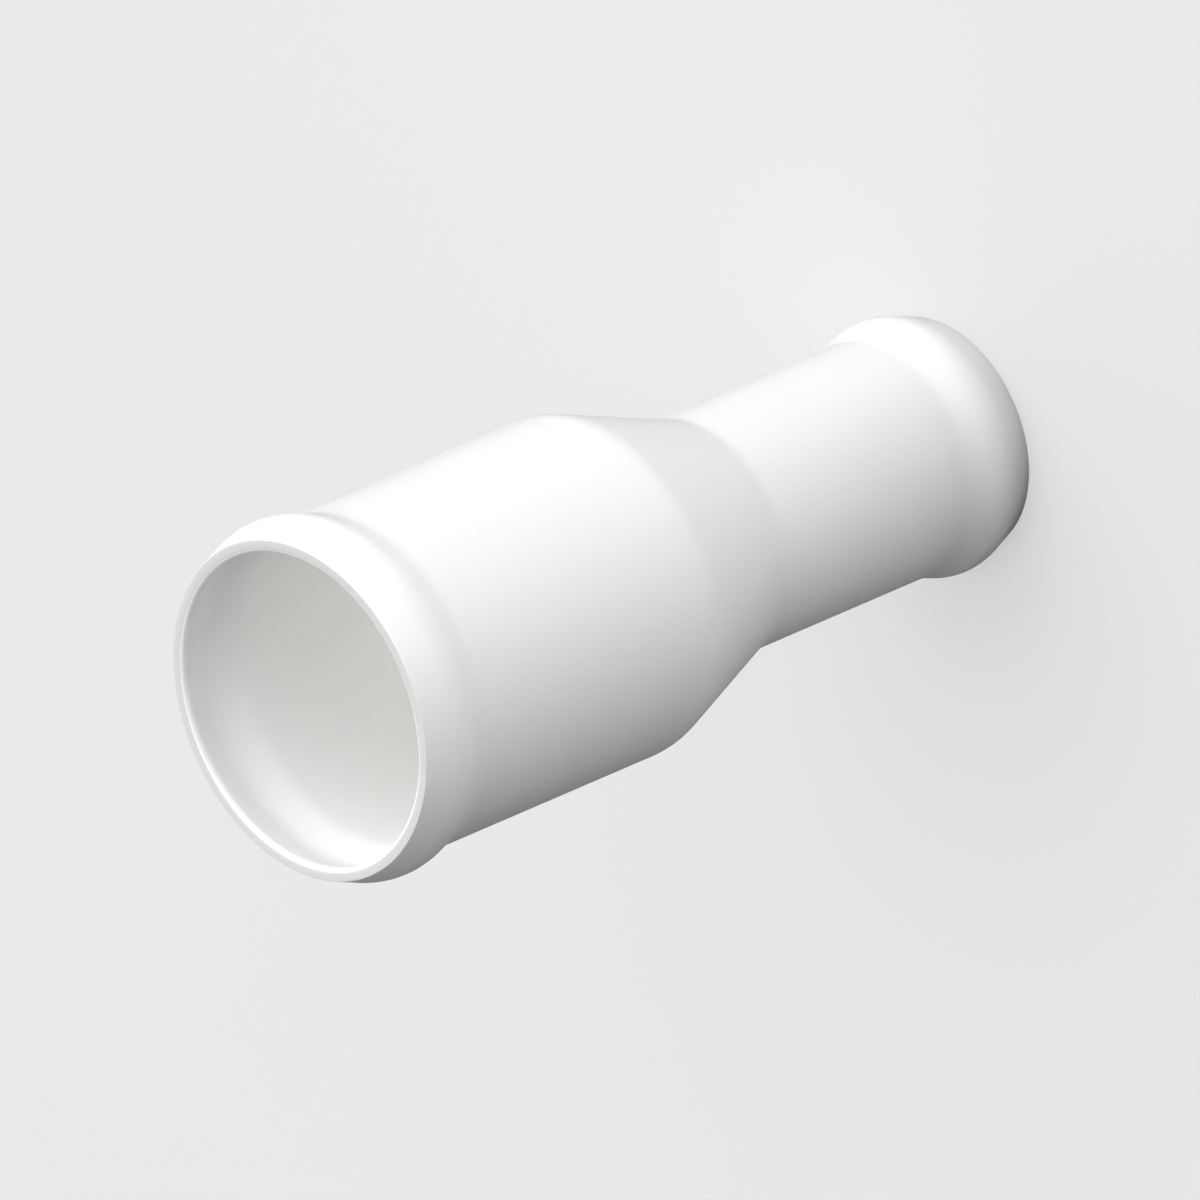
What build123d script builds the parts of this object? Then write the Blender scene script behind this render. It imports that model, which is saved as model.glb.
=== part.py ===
"""Concentric pipe reducer, 160 to 110 mm, one piece, with a swelled bead near each end."""

from math import atan2, cos, radians, sin, tan
import os

from build123d import *

os.makedirs("parts", exist_ok=True)

# All sizes in millimetres. The part stands on its small end, and Z runs up the middle of the bore.

# Overall
length = 400.0
large_od = 160.0
small_od = 110.0
wall = 6.5

# Bead, the same outline at both ends; setbacks are measured inward from the end face
bead_rise = 4.9
crown_setback = 19.0
crown_arc_r = 20.0
lead_angle = radians(20.0)
trail_angle = radians(19.0)
foot_arc_r = 20.0

# Taper between the two tubes
taper_setback = 180.0
taper_length = 69.0
taper_shoulder_r = 32.0
taper_foot_r = 21.0

# Lips: broken into the bore, crisp on the outside
lip_bore_chamfer = 2.0

# Worked out from the sizes above
large_r = large_od / 2
small_r = small_od / 2
taper_angle = atan2(large_r - small_r, taper_length)


def bead_points(tube_r: float, inset: float) -> dict:
    """Points of one bead surface as (radius, distance in from the end face).

    Args:
        tube_r: outside radius of the tube the bead stands on.
        inset: how far the surface lies inside the outer skin.

    Returns:
        The named points, from the lip to the plain tube.
    """
    crown_r = tube_r + bead_rise - crown_arc_r
    k = crown_arc_r - inset
    lead = (crown_r + k * cos(lead_angle), crown_setback - k * sin(lead_angle))
    crown = (crown_r + k, crown_setback)
    trail = (crown_r + k * cos(trail_angle), crown_setback + k * sin(trail_angle))
    lip = (lead[0] - lead[1] * tan(lead_angle), 0.0)

    fall = bead_rise - crown_arc_r * (1 - cos(trail_angle))
    sharp_foot = crown_setback + crown_arc_r * sin(trail_angle) + fall / tan(trail_angle)
    foot_centre_d = sharp_foot + foot_arc_r * tan(trail_angle / 2)
    foot_centre_r = tube_r + foot_arc_r
    m = foot_arc_r + inset
    foot_start = (foot_centre_r - m * cos(trail_angle), foot_centre_d - m * sin(trail_angle))
    half = trail_angle / 2
    foot_mid = (foot_centre_r - m * cos(half), foot_centre_d - m * sin(half))
    foot_end = (tube_r - inset, foot_centre_d)
    return {
        "lip": lip,
        "lead": lead,
        "crown": crown,
        "trail": trail,
        "foot_start": foot_start,
        "foot_mid": foot_mid,
        "foot_end": foot_end,
    }


def taper_points(inset: float) -> dict:
    """Points of one taper surface as (radius, height).

    Args:
        inset: how far the surface lies inside the outer skin.

    Returns:
        The named points, from the large tube down to the small tube.
    """
    half = taper_angle / 2
    shoulder_z = length - taper_setback + taper_shoulder_r * tan(half)
    shoulder_r = large_r - taper_shoulder_r
    k = taper_shoulder_r - inset
    foot_z = length - taper_setback - taper_length - taper_foot_r * tan(half)
    foot_r = small_r + taper_foot_r
    m = taper_foot_r + inset
    return {
        "shoulder_start": (shoulder_r + k, shoulder_z),
        "shoulder_mid": (shoulder_r + k * cos(half), shoulder_z - k * sin(half)),
        "shoulder_end": (shoulder_r + k * cos(taper_angle), shoulder_z - k * sin(taper_angle)),
        "foot_start": (foot_r - m * cos(taper_angle), foot_z + m * sin(taper_angle)),
        "foot_mid": (foot_r - m * cos(half), foot_z + m * sin(half)),
        "foot_end": (foot_r - m, foot_z),
    }


def skin(inset: float) -> tuple:
    """Draw one surface of the wall, from the small lip up to the large lip.

    Args:
        inset: how far the surface lies inside the outer skin.

    Returns:
        The small lip point and the large lip point, as (radius, height).
    """
    low = bead_points(small_r, inset)
    high = {name: (r, length - d) for name, (r, d) in bead_points(large_r, inset).items()}
    taper = taper_points(inset)
    Line(low["lip"], low["lead"])
    ThreePointArc(low["lead"], low["crown"], low["trail"])
    Line(low["trail"], low["foot_start"])
    ThreePointArc(low["foot_start"], low["foot_mid"], low["foot_end"])
    Line(low["foot_end"], taper["foot_end"])
    ThreePointArc(taper["foot_end"], taper["foot_mid"], taper["foot_start"])
    Line(taper["foot_start"], taper["shoulder_end"])
    ThreePointArc(taper["shoulder_end"], taper["shoulder_mid"], taper["shoulder_start"])
    Line(taper["shoulder_start"], high["foot_end"])
    ThreePointArc(high["foot_end"], high["foot_mid"], high["foot_start"])
    Line(high["foot_start"], high["trail"])
    ThreePointArc(high["trail"], high["crown"], high["lead"])
    Line(high["lead"], high["lip"])
    return low["lip"], high["lip"]


with BuildPart() as beaded_reducer:
    with BuildSketch(Plane.XZ) as wall_section:
        with BuildLine() as wall_outline:
            outer_low, outer_high = skin(0.0)
            inner_low, inner_high = skin(wall)
            Line(outer_low, inner_low)
            Line(outer_high, inner_high)
        make_face()
        by_height = wall_section.vertices().group_by(Axis.Y)
        low_bore_corner = by_height[0].sort_by(Axis.X)[0]
        high_bore_corner = by_height[-1].sort_by(Axis.X)[0]
        chamfer([low_bore_corner, high_bore_corner], length=lip_bore_chamfer)
    revolve(axis=Axis.Z)

beaded_reducer.part.label = "beaded_reducer"
export_step(beaded_reducer.part, "parts/beaded_reducer.step")
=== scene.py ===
"""Dresses the beaded concentric pipe reducer: a white moulded spool on a pale studio floor."""

import logging
import math
from dataclasses import dataclass, field, replace
from enum import Enum

import bmesh
import bpy
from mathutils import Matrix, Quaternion, Vector


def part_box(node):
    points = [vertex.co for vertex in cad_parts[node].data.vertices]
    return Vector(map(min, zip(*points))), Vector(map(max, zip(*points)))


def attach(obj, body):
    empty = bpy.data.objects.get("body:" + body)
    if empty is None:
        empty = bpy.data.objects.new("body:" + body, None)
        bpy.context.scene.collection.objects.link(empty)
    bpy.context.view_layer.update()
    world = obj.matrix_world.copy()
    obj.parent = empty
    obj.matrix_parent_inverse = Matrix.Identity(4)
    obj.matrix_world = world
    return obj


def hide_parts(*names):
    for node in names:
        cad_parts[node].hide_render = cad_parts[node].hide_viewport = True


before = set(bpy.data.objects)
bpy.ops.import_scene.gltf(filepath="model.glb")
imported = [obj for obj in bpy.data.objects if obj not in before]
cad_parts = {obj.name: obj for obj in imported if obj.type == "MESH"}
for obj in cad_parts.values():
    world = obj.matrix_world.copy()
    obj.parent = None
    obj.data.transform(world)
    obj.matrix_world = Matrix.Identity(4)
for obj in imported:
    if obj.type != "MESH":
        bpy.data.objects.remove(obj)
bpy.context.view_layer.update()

log = logging.getLogger("reducer")

MM = 0.001
NODE = "beaded_reducer"
PIECE = "beaded_reducer_shell"
BODY = "root"
SAME_POINT = 1e-6

Value = float | tuple[float, ...] | Vector | bpy.types.NodeSocket


class Zone(Enum):
    """The three kinds of surface on the wall, in the order of the piece's material slots."""

    SKIN = 0
    BORE = 1
    LIP = 2


# ---------------------------------------------------------------------------------------------
# Shader helpers
# ---------------------------------------------------------------------------------------------


@dataclass(frozen=True)
class Waves:
    """How coarse a noise is.

    Attributes:
        scale: waves per metre.
        detail: number of finer layers.
    """

    scale: float
    detail: float


class Nodes:
    """A node tree with short calls for adding and joining nodes."""

    def __init__(self, tree: bpy.types.NodeTree) -> None:
        """Takes the tree that the nodes go into."""
        self.tree = tree

    @classmethod
    def emptied(cls, owner: bpy.types.Material | bpy.types.World) -> "Nodes":
        """Empties the node tree of a material or a world.

        Args:
            owner: the material or world.

        Returns:
            Its tree, ready for new nodes.
        """
        owner.use_nodes = True
        owner.node_tree.nodes.clear()
        return cls(owner.node_tree)

    def add(self, kind: str, **settings: object) -> bpy.types.Node:
        """Adds one node.

        Args:
            kind: Blender's type name of the node.
            **settings: properties to set on it.

        Returns:
            The new node.
        """
        node = self.tree.nodes.new(kind)
        for name, value in settings.items():
            setattr(node, name, value)
        return node

    def feed(self, target: bpy.types.NodeSocket, value: Value) -> None:
        """Gives an input its value.

        Args:
            target: the input socket.
            value: the output socket that it reads, or a value of its own.
        """
        if isinstance(value, bpy.types.NodeSocket):
            self.tree.links.new(value, target)
        else:
            target.default_value = value

    def maths(self, operation: str, *values: Value) -> bpy.types.NodeSocket:
        """Adds a Math node.

        Args:
            operation: the Math node's operation.
            *values: numbers or output sockets, in order.

        Returns:
            The result socket.
        """
        node = self.add("ShaderNodeMath", operation=operation)
        for socket, value in zip(node.inputs, values):
            self.feed(socket, value)
        return node.outputs["Value"]

    def either(self, factor: Value, off: Value, on: Value) -> bpy.types.NodeSocket:
        """Adds a choice between two numbers.

        Args:
            factor: 0 for the first number and 1 for the second.
            off: the first number.
            on: the second number.

        Returns:
            The chosen number.
        """
        node = self.add("ShaderNodeMix", data_type="FLOAT")
        for name, value in (("Factor", factor), ("A", off), ("B", on)):
            self.feed(node.inputs[name], value)
        return node.outputs["Result"]

    def reach(self, where: Value, toward: Value) -> bpy.types.NodeSocket:
        """Adds the dot product of two vectors.

        Args:
            where: a place or a direction.
            toward: the direction that it is measured along.

        Returns:
            How far it reaches that way.
        """
        node = self.add("ShaderNodeVectorMath", operation="DOT_PRODUCT")
        self.feed(node.inputs[0], where)
        self.feed(node.inputs[1], toward)
        return node.outputs["Value"]

    def noise(self, where: Value, waves: Waves) -> bpy.types.NodeSocket:
        """Adds a Noise Texture.

        Args:
            where: the coordinates that it reads.
            waves: how coarse it is.

        Returns:
            The noise value, about 0 to 1 and 0.5 on average.
        """
        node = self.add("ShaderNodeTexNoise")
        self.feed(node.inputs["Vector"], where)
        self.feed(node.inputs["Scale"], waves.scale)
        self.feed(node.inputs["Detail"], waves.detail)
        return node.outputs["Fac"]

    def wander(self, where: Value, waves: Waves, depth: Value) -> bpy.types.NodeSocket:
        """Adds a noise that is 0 on average and wanders over a range of the given depth."""
        return self.maths("MULTIPLY", self.maths("SUBTRACT", self.noise(where, waves), 0.5), depth)

    def show(self, output: str, shader: bpy.types.NodeSocket) -> None:
        """Shows one shader through an output node of the given type."""
        self.feed(self.add(output).inputs["Surface"], shader)


@dataclass(frozen=True)
class MouldedSurface:
    """The shared effect of moulded white plastic: cloudy tone, uneven gloss and a fine surface.

    Attributes:
        name: the node group's name.
        cloud: the broad tone change.
        speck: the fine tone change.
        gloss: the change of roughness.
        peel: the moulded texture.
    """

    name: str = "moulded_surface"
    cloud: Waves = Waves(14.0, 3.0)
    speck: Waves = Waves(420.0, 2.0)
    gloss: Waves = Waves(38.0, 4.0)
    peel: Waves = Waves(700.0, 2.0)

    def group(self) -> bpy.types.NodeTree:
        """Builds the node group once.

        Returns:
            The group, which later calls share.
        """
        found = bpy.data.node_groups.get(self.name)
        if found is not None:
            return found
        made = bpy.data.node_groups.new(self.name, "ShaderNodeTree")
        self._sockets(made)
        nodes = Nodes(made)
        given = nodes.add("NodeGroupInput").outputs
        result = nodes.add("NodeGroupOutput").inputs
        where = given["Vector"]

        cloud = nodes.wander(where, self.cloud, given["Cloud"])
        speck = nodes.wander(where, self.speck, given["Speck"])
        tone = nodes.maths("ADD", 1.0, nodes.maths("ADD", cloud, speck))
        shade = nodes.add("ShaderNodeMix", data_type="RGBA", blend_type="MULTIPLY")
        nodes.feed(shade.inputs["Factor"], 1.0)
        nodes.feed(shade.inputs["A"], given["Color"])
        nodes.feed(shade.inputs["B"], tone)
        nodes.feed(result["Color"], shade.outputs["Result"])

        uneven = nodes.wander(where, self.gloss, given["Gloss Spread"])
        nodes.feed(result["Roughness"], nodes.maths("ADD", given["Roughness"], uneven))
        peel = nodes.noise(where, self.peel)
        nodes.feed(result["Height"], nodes.maths("MULTIPLY", peel, given["Peel"]))
        return made

    @staticmethod
    def _sockets(group: bpy.types.NodeTree) -> None:
        """Gives the group its named inputs and outputs.

        Args:
            group: the empty group.
        """
        face = group.interface
        face.new_socket("Vector", in_out="INPUT", socket_type="NodeSocketVector")
        face.new_socket("Color", in_out="INPUT", socket_type="NodeSocketColor")
        for name in ("Cloud", "Speck", "Roughness", "Gloss Spread", "Peel"):
            face.new_socket(name, in_out="INPUT", socket_type="NodeSocketFloat")
        face.new_socket("Color", in_out="OUTPUT", socket_type="NodeSocketColor")
        for name in ("Roughness", "Height"):
            face.new_socket(name, in_out="OUTPUT", socket_type="NodeSocketFloat")


@dataclass(frozen=True)
class PlasticFinish:
    """A white plastic surface.

    Attributes:
        name: the material's name.
        color: base colour, linear.
        cloud: depth of the broad tone change.
        speck: depth of the fine tone change.
        roughness: middle roughness.
        gloss_spread: how much the roughness wanders.
        peel: height of the moulded texture, in millimetres.
        ring_depth: height of the turned rings, in millimetres; 0 for none.
        ring_pitch: spacing of the turned rings, in millimetres.
        ior: index of refraction.
    """

    name: str
    color: tuple[float, float, float]
    cloud: float = 0.03
    speck: float = 0.015
    roughness: float = 0.38
    gloss_spread: float = 0.12
    peel: float = 0.02
    ring_depth: float = 0.0
    ring_pitch: float = 0.8
    ior: float = 1.5

    def material(self) -> bpy.types.Material:
        """Builds the material.

        Returns:
            The material, on the part's own Object coordinates.
        """
        made = bpy.data.materials.new(self.name)
        nodes = Nodes.emptied(made)
        where = nodes.add("ShaderNodeTexCoord").outputs["Object"]

        surface = nodes.add("ShaderNodeGroup", node_tree=MouldedSurface().group())
        given = {
            "Vector": where,
            "Color": (*self.color, 1.0),
            "Cloud": self.cloud,
            "Speck": self.speck,
            "Roughness": self.roughness,
            "Gloss Spread": self.gloss_spread,
            "Peel": self.peel * MM,
        }
        for name, value in given.items():
            nodes.feed(surface.inputs[name], value)

        height = surface.outputs["Height"]
        if self.ring_depth:
            height = nodes.maths("ADD", height, self._rings(nodes, where))
        bump = nodes.add("ShaderNodeBump")
        nodes.feed(bump.inputs["Strength"], 1.0)
        nodes.feed(bump.inputs["Distance"], 1.0)
        nodes.feed(bump.inputs["Height"], height)

        shader = nodes.add("ShaderNodeBsdfPrincipled")
        nodes.feed(shader.inputs["IOR"], self.ior)
        nodes.feed(shader.inputs["Base Color"], surface.outputs["Color"])
        nodes.feed(shader.inputs["Roughness"], surface.outputs["Roughness"])
        nodes.feed(shader.inputs["Normal"], bump.outputs["Normal"])
        nodes.show("ShaderNodeOutputMaterial", shader.outputs["BSDF"])
        return made

    def _rings(self, nodes: Nodes, where: bpy.types.NodeSocket) -> bpy.types.NodeSocket:
        """Adds the turned rings round the bore, from the distance to the axis.

        Args:
            nodes: the material's nodes.
            where: Object coordinates.

        Returns:
            The rings' height, in metres.
        """
        split = nodes.add("ShaderNodeSeparateXYZ")
        nodes.feed(split.inputs["Vector"], where)
        x, y = split.outputs["X"], split.outputs["Y"]
        squared = nodes.maths("ADD", nodes.maths("MULTIPLY", x, x), nodes.maths("MULTIPLY", y, y))
        turns = nodes.maths("MULTIPLY", nodes.maths("SQRT", squared), 2 * math.pi / (self.ring_pitch * MM))
        return nodes.maths("MULTIPLY", nodes.maths("SINE", turns), self.ring_depth * MM)


# ---------------------------------------------------------------------------------------------
# The part
# ---------------------------------------------------------------------------------------------


@dataclass(frozen=True)
class Corner:
    """One sharp corner of the wall section and the round that takes it off.

    Attributes:
        radius: distance from the axis, in millimetres.
        height: height above the small end, in millimetres.
        blend: radius of the round, in millimetres.
        steps: edges in the round.
    """

    radius: float
    height: float
    blend: float
    steps: int


class SectionPen:
    """Draws a closed chain of edges in the XZ plane: straight runs, with a true arc at each corner."""

    def __init__(self, bm: bmesh.types.BMesh, spacing: float) -> None:
        """Prepares the pen.

        Args:
            bm: the mesh that it draws into.
            spacing: longest straight edge, in metres.
        """
        self.bm = bm
        self.spacing = spacing
        self.tip: bmesh.types.BMVert | None = None

    def draw(self, corners: list[Corner]) -> None:
        """Draws the closed outline.

        Args:
            corners: the corners in order, anticlockwise with the radius to the right.
        """
        points = [Vector((corner.radius, 0.0, corner.height)) * MM for corner in corners]
        ways = [(after - here).normalized() for here, after in zip(points, points[1:] + points[:1])]
        turns = []
        starts = []
        for index, (corner, point, after) in enumerate(zip(corners, points, ways)):
            before = ways[index - 1]
            turn = math.atan2(before.x * after.z - before.z * after.x, before.dot(after))
            turns.append(turn)
            starts.append(point - before * corner.blend * MM * math.tan(abs(turn) / 2))
        first = self.tip = self.bm.verts.new(starts[0])
        for index, corner in enumerate(corners):
            self._arc(corner, ways[index - 1], turns[index])
            self._run(starts[(index + 1) % len(starts)])
        bmesh.ops.remove_doubles(self.bm, verts=[first, self.tip], dist=SAME_POINT)

    def _arc(self, corner: Corner, before: Vector, turn: float) -> None:
        """Turns the tip round one corner.

        Args:
            corner: the corner being rounded.
            before: direction of travel on reaching it.
            turn: angle turned through, anticlockwise above 0, in radians.
        """
        inward = Vector((-before.z, 0.0, before.x)) * math.copysign(1.0, turn)
        made = bmesh.ops.spin(
            self.bm,
            geom=[self.tip],
            cent=self.tip.co + inward * corner.blend * MM,
            axis=(0.0, -1.0, 0.0),
            angle=turn,
            steps=corner.steps,
            use_merge=False,
        )
        self.tip = next(v for v in made["geom_last"] if isinstance(v, bmesh.types.BMVert))

    def _run(self, end: Vector) -> None:
        """Takes the tip straight to a point, in even steps.

        Args:
            end: where the run ends.
        """
        way = end - self.tip.co
        steps = max(1, math.ceil(way.length / self.spacing))
        for _ in range(steps):
            made = bmesh.ops.extrude_vert_indiv(self.bm, verts=[self.tip])
            self.tip = made["verts"][0]
            bmesh.ops.translate(self.bm, verts=[self.tip], vec=way / steps)


@dataclass
class BeadedReducer:
    """The whole part: a large tube, a taper and a small tube in one wall, with a bead at each end.

    All sizes are in millimetres and degrees. They are the solid's own, apart from the lips' small
    rounds, where the solid has a chamfer into the bore and a crisp outer edge.

    Attributes:
        length: overall height, which the frame gives.
        large_radius: outside radius of the large tube, which is on top.
        small_radius: outside radius of the small tube.
        wall: wall thickness.
        bead_rise: how far each bead stands proud of its tube.
        crown_setback: from an end face in to the top of its bead.
        crown_blend: outside round over a bead.
        lead_angle: slope from the lip up to the crown.
        trail_angle: slope from the crown down to the tube.
        foot_blend: outside round where a bead runs into its tube.
        taper_setback: from the large end face in to the taper's shoulder.
        taper_length: height of the taper between its sharp corners.
        shoulder_blend: outside round at the taper's large end.
        taper_foot_blend: outside round at its small end.
        lip_bore_round: round from the lip into the bore.
        lip_outer_break: break of the lip's outer edge.
        round_steps: edges in each round of the tubes, beads and taper.
        lip_steps: edges in each round of the lips.
        spacing: longest straight edge of the section.
        spokes: faces round the axis.
        lip_facing: least upright part of a lip face's normal.
        finishes: the finish of each kind of surface; the lip's grey colour is painted shade, not a darker
            plastic.
    """

    length: float
    large_radius: float = 80.0
    small_radius: float = 55.0
    wall: float = 6.5
    bead_rise: float = 4.9
    crown_setback: float = 19.0
    crown_blend: float = 20.0
    lead_angle: float = 20.0
    trail_angle: float = 19.0
    foot_blend: float = 20.0
    taper_setback: float = 180.0
    taper_length: float = 69.0
    shoulder_blend: float = 32.0
    taper_foot_blend: float = 21.0
    lip_bore_round: float = 2.5
    lip_outer_break: float = 0.3
    round_steps: int = 14
    lip_steps: int = 6
    spacing: float = 7.0
    spokes: int = 192
    lip_facing: float = 0.95
    finishes: dict[Zone, PlasticFinish] = field(
        default_factory=lambda: {
            Zone.SKIN: PlasticFinish("white_skin", (0.90, 0.90, 0.89)),
            Zone.BORE: PlasticFinish("white_bore", (0.90, 0.90, 0.89), roughness=0.42),
            # The lip faces are the same white plastic as the rest. Their grey colour is painted shade that
            # darkens the upward-facing ring, which the top light would otherwise show near white.
            Zone.LIP: PlasticFinish(
                "cut_lip_painted_shade", (0.58, 0.58, 0.57), roughness=0.46, peel=0.01, ring_depth=0.006
            ),
        }
    )

    def build(self) -> bpy.types.Object:
        """Makes the piece, dresses it and puts it in the frame.

        Returns:
            The finished piece.
        """
        mesh = self._mesh()
        for zone in Zone:
            mesh.materials.append(self.finishes[zone].material())
        piece = bpy.data.objects.new(PIECE, mesh)
        bpy.context.scene.collection.objects.link(piece)
        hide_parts(NODE)
        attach(piece, BODY)
        return piece

    def _mesh(self) -> bpy.types.Mesh:
        """Draws the wall section and spins it once round the axis.

        Returns:
            The closed wall, with each face's material slot set.
        """
        bm = bmesh.new()
        SectionPen(bm, self.spacing * MM).draw(self._corners())
        bmesh.ops.spin(
            bm,
            geom=bm.verts[:] + bm.edges[:],
            cent=(0.0, 0.0, 0.0),
            axis=(0.0, 0.0, 1.0),
            angle=2 * math.pi,
            steps=self.spokes,
            use_merge=True,
        )
        bmesh.ops.remove_doubles(bm, verts=bm.verts[:], dist=SAME_POINT)
        bmesh.ops.recalc_face_normals(bm, faces=bm.faces[:])
        for face in bm.faces:
            face.smooth = True
            face.material_index = self._zone(face).value
        mesh = bpy.data.meshes.new(PIECE)
        bm.to_mesh(mesh)
        bm.free()
        return mesh

    def _zone(self, face: bmesh.types.BMFace) -> Zone:
        """Tells which kind of surface a face belongs to.

        Args:
            face: a face of the finished wall.

        Returns:
            Its zone.
        """
        if abs(face.normal.z) > self.lip_facing:
            return Zone.LIP
        middle = face.calc_center_median()
        outward = Vector((middle.x, middle.y, 0.0)).dot(face.normal)
        return Zone.SKIN if outward > 0 else Zone.BORE

    def _corners(self) -> list[Corner]:
        """Lists the section's corners, up the outside, over the large lip and down the bore.

        Returns:
            The corners in order.
        """
        low = self._bead(self.small_radius)
        high = [
            replace(corner, height=self.length - corner.height)
            for corner in self._bead(self.large_radius)
        ]
        top = self.length - self.taper_setback
        foot = top - self.taper_length
        outer = [
            *low,
            Corner(self.small_radius, foot, self.taper_foot_blend, self.round_steps),
            Corner(self.large_radius, top, self.shoulder_blend, self.round_steps),
            *reversed(high),
        ]
        return [*outer, *reversed(self._inset(outer))]

    def _bead(self, tube: float) -> list[Corner]:
        """Lists the sharp corners of one bead's outside, as on the small end.

        Args:
            tube: outside radius of the tube that it stands on.

        Returns:
            Its lip, apex and foot.
        """
        lead, trail = math.radians(self.lead_angle), math.radians(self.trail_angle)
        lead_rise = self.crown_blend / math.cos(lead) - self.crown_blend
        trail_rise = self.crown_blend / math.cos(trail) - self.crown_blend
        apex_shift = (lead_rise - trail_rise) / (math.tan(lead) + math.tan(trail))
        apex_radius = tube + self.bead_rise + lead_rise - apex_shift * math.tan(lead)
        apex = self.crown_setback - apex_shift
        lip_radius = apex_radius - apex * math.tan(lead)
        foot = apex + (apex_radius - tube) / math.tan(trail)
        return [
            Corner(lip_radius, 0.0, self.lip_outer_break, self.lip_steps),
            Corner(apex_radius, apex, self.crown_blend, self.round_steps),
            Corner(tube, foot, self.foot_blend, self.round_steps),
        ]

    def _inset(self, outer: list[Corner]) -> list[Corner]:
        """Works out the inside corners, one wall in from the outside ones.

        Args:
            outer: the outside corners from the small lip to the large lip.

        Returns:
            The inside corners in the same order.
        """
        places = [Vector((corner.radius, corner.height)) for corner in outer]
        ways = [(after - here).normalized() for here, after in zip(places, places[1:])]
        made = [self._inner_lip(outer[0], ways[0])]
        for corner, before, after in zip(outer[1:-1], ways, ways[1:]):
            left_before = Vector((-before.y, before.x))
            left_after = Vector((-after.y, after.x))
            shift = (left_before + left_after) * self.wall / (1 + left_before.dot(left_after))
            turns_left = before.x * after.y - before.y * after.x > 0
            blend = corner.blend - self.wall if turns_left else corner.blend + self.wall
            made.append(Corner(corner.radius + shift.x, corner.height + shift.y, blend, corner.steps))
        made.append(self._inner_lip(outer[-1], ways[-1]))
        return made

    def _inner_lip(self, outer_lip: Corner, way: Vector) -> Corner:
        """Works out a lip's corner at the bore from its outside corner and the slope beside it."""
        return replace(outer_lip, radius=outer_lip.radius - self.wall / way.y, blend=self.lip_bore_round)


# ---------------------------------------------------------------------------------------------
# The studio
# ---------------------------------------------------------------------------------------------


@dataclass(frozen=True)
class FloorFinish:
    """A plain pale floor.

    Attributes:
        name: the material's name.
        color: its shade, which carries the shadow.
        glow: a steady brightness added to it, which keeps the shadow faint.
        bounce_far: its shade for light on its way to the part, on its dim side.
        bounce_near: the same on its bright side.
        toward: direction of the bright side.
        reach: distance from the middle at which each bounce shade is reached, in metres.
        mirrored: its shade as reflected in the part's gloss, dark so that the outline reads.
        roughness: its roughness.
        grain: its faint change of shade.
        grain_depth: the most that the grain adds to its shade.
    """

    name: str = "studio_floor"
    color: float = 0.29
    glow: float = 0.53
    bounce_far: float = 0.15
    bounce_near: float = 0.95
    toward: tuple[float, float, float] = (0.6, -0.8, 0.0)
    reach: float = 0.35
    mirrored: float = 0.1
    roughness: float = 0.9
    grain: Waves = Waves(6.0, 2.0)
    grain_depth: float = 0.01

    def material(self) -> bpy.types.Material:
        """Builds the floor's material.

        Returns:
            The material.
        """
        made = bpy.data.materials.new(self.name)
        nodes = Nodes.emptied(made)
        where = nodes.add("ShaderNodeTexCoord").outputs["Object"]
        path = nodes.add("ShaderNodeLightPath").outputs
        grain = nodes.maths("MULTIPLY", nodes.noise(where, self.grain), self.grain_depth)
        bounce = nodes.either(path["Is Glossy Ray"], self._bounce(nodes, where), self.mirrored)
        shade = nodes.either(path["Is Camera Ray"], bounce, self.color)
        diffuse = nodes.add("ShaderNodeBsdfDiffuse")
        nodes.feed(diffuse.inputs["Roughness"], self.roughness)
        nodes.feed(diffuse.inputs["Color"], nodes.maths("ADD", shade, grain))
        glow = nodes.add("ShaderNodeEmission")
        nodes.feed(glow.inputs["Strength"], nodes.maths("MULTIPLY", path["Is Camera Ray"], self.glow))
        both = nodes.add("ShaderNodeAddShader")
        nodes.feed(both.inputs[0], diffuse.outputs["BSDF"])
        nodes.feed(both.inputs[1], glow.outputs["Emission"])
        nodes.show("ShaderNodeOutputMaterial", both.outputs["Shader"])
        return made

    def _bounce(self, nodes: Nodes, where: bpy.types.NodeSocket) -> bpy.types.NodeSocket:
        """Adds the shade that throws light back on the part.

        Args:
            nodes: the material's nodes.
            where: Object coordinates.

        Returns:
            The shade, brighter towards one side.
        """
        across = nodes.add("ShaderNodeMapRange")
        given = {
            "Value": nodes.reach(where, self.toward),
            "From Min": -self.reach,
            "From Max": self.reach,
            "To Min": self.bounce_far,
            "To Max": self.bounce_near,
        }
        for name, value in given.items():
            nodes.feed(across.inputs[name], value)
        return across.outputs["Result"]


@dataclass(frozen=True)
class BoreLamp:
    """A small round lamp on the axis, out of sight down the bore.

    Attributes:
        name: its name.
        height: its height above the small end, in metres.
        radius: its own radius, in metres.
        power: its power, in watts.
    """

    name: str = "bore_lamp"
    height: float = 0.22
    radius: float = 0.02
    power: float = 0.03

    def build(self) -> bpy.types.Object:
        """Makes the lamp.

        Returns:
            The lamp.
        """
        data = bpy.data.lights.new(self.name, "POINT")
        data.shadow_soft_size = self.radius
        data.energy = self.power
        lamp = bpy.data.objects.new(self.name, data)
        lamp.location = (0.0, 0.0, self.height)
        lamp.visible_camera = False
        bpy.context.scene.collection.objects.link(lamp)
        return lamp


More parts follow.
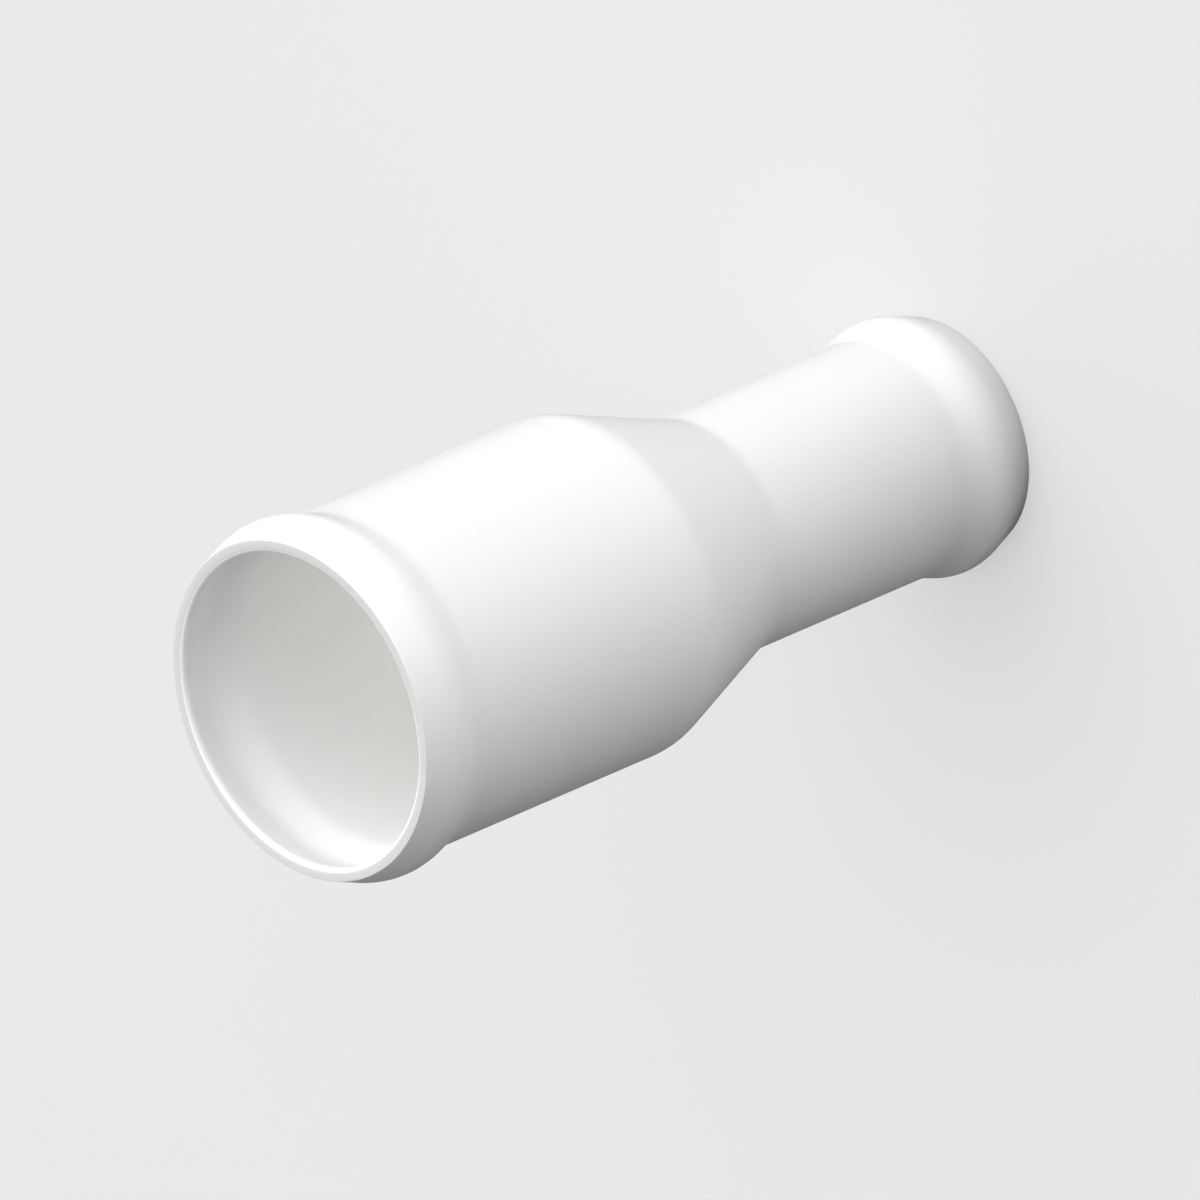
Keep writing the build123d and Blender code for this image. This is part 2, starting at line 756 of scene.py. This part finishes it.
@dataclass(frozen=True)
class SkyLobe:
    """A broad soft glow in the sky, brightest in one direction.

    Attributes:
        toward: direction of its middle, as seen from the part.
        strength: brightness in the middle.
        tightness: power of the cosine by which it fades; higher is narrower.
    """

    toward: tuple[float, float, float]
    strength: float
    tightness: float

    def glow(self, nodes: Nodes, where: bpy.types.NodeSocket) -> bpy.types.NodeSocket:
        """Adds the lobe's nodes.

        Args:
            nodes: the world's nodes.
            where: the direction looked in.

        Returns:
            The lobe's brightness in that direction.
        """
        facing = nodes.reach(where, Vector(self.toward).normalized())
        cosine = nodes.maths("MAXIMUM", facing, 0.0)
        return nodes.maths("MULTIPLY", nodes.maths("POWER", cosine, self.tightness), self.strength)


@dataclass
class Studio:
    """Floor, soft light and camera.

    Attributes:
        floor_size: side of the square floor, in metres.
        floor_finish: its finish.
        lobes: the glows that make up the sky.
        backdrop: brightness of the sky as the camera sees it.
        bore_lamp: the lamp down the bore.
        elevation: angle of the camera above the horizon, in degrees.
        roll: turn of the camera about its own line of sight, in degrees.
        frame_width: width of what the camera sees, in metres.
        aim: the point in the middle of the picture, in metres.
        distance: from that point to the camera, in metres.
        clip: nearest and furthest that the camera sees, in metres.
    """

    floor_size: float = 12.0
    floor_finish: FloorFinish = FloorFinish()
    lobes: tuple[SkyLobe, ...] = (
        SkyLobe((0.5, 0.3, 0.8), 3.6, 3.0),
        SkyLobe((0.66, -0.75, 0.35), 2.05, 3.0),
    )
    backdrop: float = 0.85
    bore_lamp: BoreLamp = BoreLamp()
    elevation: float = 39.42
    roll: float = -113.31
    frame_width: float = 0.5297
    aim: tuple[float, float, float] = (-0.0075, 0.0, 0.2173)
    distance: float = 2.5
    clip: tuple[float, float] = (0.05, 50.0)

    def build(self) -> list[bpy.types.Object]:
        """Makes the sky, and then the floor, the lamp and the camera, which it returns."""
        self._sky()
        return [self._floor(), self.bore_lamp.build(), self._camera()]

    def _floor(self) -> bpy.types.Object:
        """Lays the floor under the part.

        Returns:
            The floor.
        """
        bm = bmesh.new()
        bmesh.ops.create_grid(bm, x_segments=1, y_segments=1, size=self.floor_size / 2)
        mesh = bpy.data.meshes.new("studio_floor")
        bm.to_mesh(mesh)
        bm.free()
        mesh.materials.append(self.floor_finish.material())
        floor = bpy.data.objects.new("studio_floor", mesh)
        bpy.context.scene.collection.objects.link(floor)
        return floor

    def _sky(self) -> None:
        """Surrounds the scene with the sum of the lobes, which the camera sees as a plain backdrop."""
        world = bpy.data.worlds.new("studio_sky")
        nodes = Nodes.emptied(world)
        where = nodes.add("ShaderNodeTexCoord").outputs["Generated"]
        strength: Value = 0.0
        for lobe in self.lobes:
            strength = nodes.maths("ADD", strength, lobe.glow(nodes, where))
        camera_ray = nodes.add("ShaderNodeLightPath").outputs["Is Camera Ray"]
        shader = nodes.add("ShaderNodeBackground")
        nodes.feed(shader.inputs["Strength"], nodes.either(camera_ray, strength, self.backdrop))
        nodes.show("ShaderNodeOutputWorld", shader.outputs["Background"])
        bpy.context.scene.world = world

    def _camera(self) -> bpy.types.Object:
        """Sets the camera above the horizon, turned so that the part lies slantwise in its view.

        Returns:
            The camera.
        """
        data = bpy.data.cameras.new("studio_camera")
        data.type = "ORTHO"
        data.ortho_scale = self.frame_width
        data.clip_start, data.clip_end = self.clip
        slope = math.radians(self.elevation)
        back = Vector((0.0, -math.cos(slope), math.sin(slope)))
        roll = Quaternion((0.0, 0.0, 1.0), math.radians(self.roll))
        camera = bpy.data.objects.new("studio_camera", data)
        camera.location = Vector(self.aim) + back * self.distance
        camera.rotation_mode = "QUATERNION"
        camera.rotation_quaternion = (-back).to_track_quat("-Z", "Y") @ roll
        bpy.context.scene.collection.objects.link(camera)
        bpy.context.scene.camera = camera
        return camera


def main() -> None:
    """Builds the part and its studio, and reports each piece."""
    logging.basicConfig(level=logging.INFO, format="%(name)s: %(message)s")
    bpy.context.scene.view_settings.view_transform = "Standard"
    low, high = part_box(NODE)
    shell = BeadedReducer(length=(high.z - low.z) / MM).build()
    log.info("%s: %d faces", shell.name, len(shell.data.polygons))
    for item in Studio().build():
        log.info("%s: in place", item.name)


if __name__ == "__main__":
    main()
